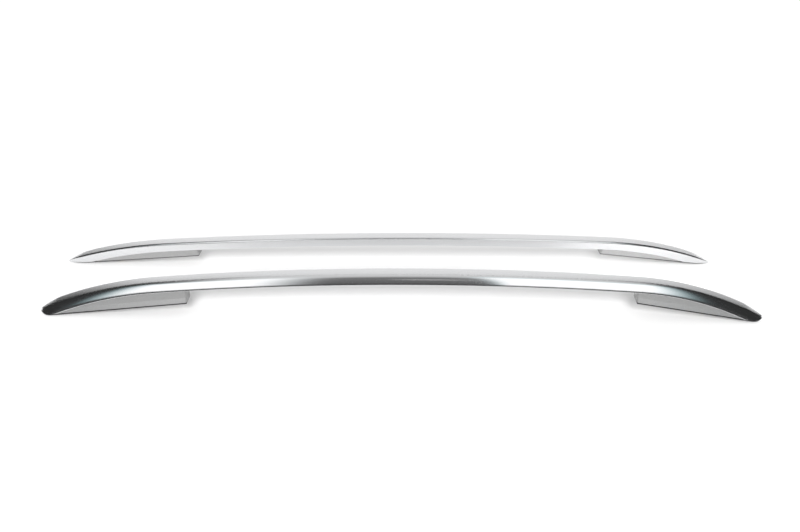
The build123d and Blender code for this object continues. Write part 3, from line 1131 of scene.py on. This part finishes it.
@dataclass
class Studio:
    """Pale floor, light panels, soft light and the camera."""

    floor_radius: float = 9.0
    floor_sides: int = 96
    floor_colour: tuple = grey(0.82)
    floor_glow: float = 0.11
    sun: float = 3.4
    sun_spread: float = math.radians(26.0)
    sun_lean: float = math.radians(54.0)
    sky: float = 2700.0
    sky_size: float = 40.0
    sky_height: float = 6.0
    fills: tuple = ((-0.66, 0.07), (0.66, 0.24))
    fill_size: tuple = (0.34, 0.05)
    fill_across: float = -0.02
    fill_height: float = 0.05
    fill_lean: float = math.radians(95.0)
    dark: float = 0.035
    lens: float = 31.58
    sensor: float = 36.0
    sight: float = 60.0
    camera_at: tuple = (0.0348, -1.5628, 0.9541)
    camera_turn: tuple = (math.radians(60.27), 0.0, 0.0111)
    front: float = -0.70
    back: float = 3.0
    ceiling: float = 2.5

    @staticmethod
    def upright(x: tuple, z: tuple, y: float) -> tuple:
        """Corners of an upright panel across the length of the rails.

        Args:
            x: Low left, low right, high right and high left.
            z: Low and high.
            y: Place across the rails.

        Returns:
            The four corners.
        """
        heights = (z[0], z[0], z[1], z[1])
        return tuple((across, y, height) for across, height in zip(x, heights))

    def cards(self) -> list[Card]:
        """The light panels round the rails.

        Two bright panels stand before the ends, with a dim one and a narrow light line between them. A dark
        flag runs along the floor, and two wide panels hang behind and overhead.

        Returns:
            The panels.
        """
        teal = (0.45, 0.75, 0.80, 1.0)
        heights = (0.11, 1.9)
        left = self.upright((-1.12, -0.23, -0.26, -1.75), heights, self.front)
        right = self.upright((0.31, 0.98, 1.85, 0.31), heights, self.front)
        middle = self.upright((-0.62, 0.52, 0.52, -0.62), (-0.1, 1.15), self.front - 0.02)
        line = self.upright((-0.06, 0.28, 0.28, -0.06), (0.59, 0.69), self.front + 0.01)
        flag = self.upright((-2.0, 2.0, 2.0, -2.0), (0.0, 0.27), self.front + 0.02)
        far = self.upright((-3.9, 5.4, 5.4, -3.9), (0.0, self.ceiling), self.back)
        over = tuple((x, y, self.ceiling) for x, y in (
            (-1.8, -2.1), (2.1, -2.1), (2.1, self.back), (-1.8, self.back)))
        dim = (grey(0.12), grey(0.12))
        return [
            Card("left_panel", left, glow=1.45, fades=(0.34, 0.32, 0.06, 0.45), fringes=(teal, grey(0.7))),
            Card("right_panel", right, glow=1.45, fades=(0.06, 0.34, 0.06, 0.40), fringes=(teal, teal)),
            Card("middle_panel", middle, glow=1.0, fades=(0.05, 0.05, 0.02, 0.25), colour=grey(0.095),
                 head=grey(0.24), fringes=dim),
            Card("line_panel", line, glow=0.8, fades=(0.3, 0.3, 0.4, 0.4)),
            Card("low_flag", flag, glow=0.06, fades=(0.1, 0.1, 0.01, 0.3)),
            Card("far_panel", far, glow=0.97, fades=(0.21, 0.42, 0.10, 0.01)),
            Card("overhead_panel", over, glow=0.75, fades=(0.20, 0.20, 0.26, 0.01)),
        ]

    def build(self) -> None:
        """Makes floor, light, surroundings and camera."""
        self.build_floor()
        for card in self.cards():
            card.build()
        self.build_lights()
        self.build_surroundings()
        self.build_camera()

    def build_floor(self) -> None:
        """Makes the round floor, which glows a little so that it stays pale."""
        graph = Graph.material("pale_floor")
        diffuse = graph.add("ShaderNodeBsdfDiffuse", None, {"Color": self.floor_colour})
        glow = graph.add("ShaderNodeEmission", None, {"Strength": self.floor_glow})
        both = graph.add("ShaderNodeAddShader", None, {0: diffuse, 1: glow})
        graph.add("ShaderNodeOutputMaterial", None, {"Surface": both})
        work = bmesh.new()
        bmesh.ops.create_circle(work, cap_ends=True, segments=self.floor_sides, radius=self.floor_radius)
        mesh = bpy.data.meshes.new("pale_floor")
        work.to_mesh(mesh)
        work.free()
        mesh.materials.append(graph.owner)
        new_piece("pale_floor", mesh)

    @staticmethod
    def lamp(name: str, kind: str, power: float, at: tuple, lean: float) -> bpy.types.Light:
        """Makes a light that neither the camera nor reflections see.

        Args:
            name: Name of the light.
            kind: Blender's type of light.
            power: Its energy.
            at: Its place.
            lean: Its turn about the length of the rails.

        Returns:
            The light's data, which holds its size.
        """
        data = bpy.data.lights.new(name, kind)
        data.energy = power
        light = bpy.data.objects.new(name, data)
        light.location = at
        light.rotation_euler = (lean, 0.0, 0.0)
        light.visible_glossy = False
        light.visible_camera = False
        bpy.context.scene.collection.objects.link(light)
        return data

    def build_lights(self) -> None:
        """Makes the soft key light, the wide light above and the small fills towards the far feet."""
        key = self.lamp("key_light", "SUN", self.sun, (0.0, 0.0, 0.0), self.sun_lean)
        key.angle = self.sun_spread
        sky = self.lamp("sky_light", "AREA", self.sky, (0.0, 0.0, self.sky_height), 0.0)
        sky.size = self.sky_size
        for x, power in self.fills:
            place = (x, self.fill_across, self.fill_height)
            fill = self.lamp("fill_light", "AREA", power, place, self.fill_lean)
            fill.shape = "RECTANGLE"
            fill.size, fill.size_y = self.fill_size

    def build_surroundings(self) -> None:
        """Makes the dim surroundings, which the camera sees as white."""
        world = bpy.data.worlds.new("surroundings")
        world.use_nodes = True
        world.node_tree.nodes.clear()
        graph = Graph(world.node_tree)
        seen = graph.add("ShaderNodeLightPath", None, None, "Is Camera Ray")
        room = graph.mixed(seen, grey(self.dark), WHITE)
        room = graph.add("ShaderNodeBackground", None, {"Color": room})
        graph.add("ShaderNodeOutputWorld", None, {"Surface": room})
        bpy.context.scene.world = world

    def build_camera(self) -> None:
        """Makes the camera at the photograph's angle."""
        data = bpy.data.cameras.new("camera")
        data.lens = self.lens
        data.sensor_width = self.sensor
        data.clip_end = self.sight
        camera = bpy.data.objects.new("camera", data)
        camera.location = self.camera_at
        camera.rotation_euler = self.camera_turn
        bpy.context.scene.collection.objects.link(camera)
        bpy.context.scene.camera = camera
        bpy.context.scene.view_settings.view_transform = "Standard"
        bpy.context.scene.view_settings.look = "None"


def main() -> None:
    """Builds the pair of rails and its studio in order."""
    logging.basicConfig(level=logging.INFO, format="%(message)s")
    bar = BentBar()
    aluminium = bar.make_finish()
    brass = TurnedBrass().make()
    sweep = bent_bar_tree()
    nose = pointed_nose_tree()
    for side in RailSide:
        bar.build(side, aluminium, sweep, nose)
    finishes = {
        Slot.FOOT: SilverMoulding().make(),
        Slot.GASKET: SealRubber().make(),
        Slot.INSERT: brass,
        Slot.FASTENER: ZincPlate().make(),
    }
    CarriedPieces(finishes).dress(frame["nodes"])
    InsertThreads(brass).build(thread_turns_tree(), frame["record"]["mounts"])
    Studio().build()


if __name__ == "__main__":
    main()
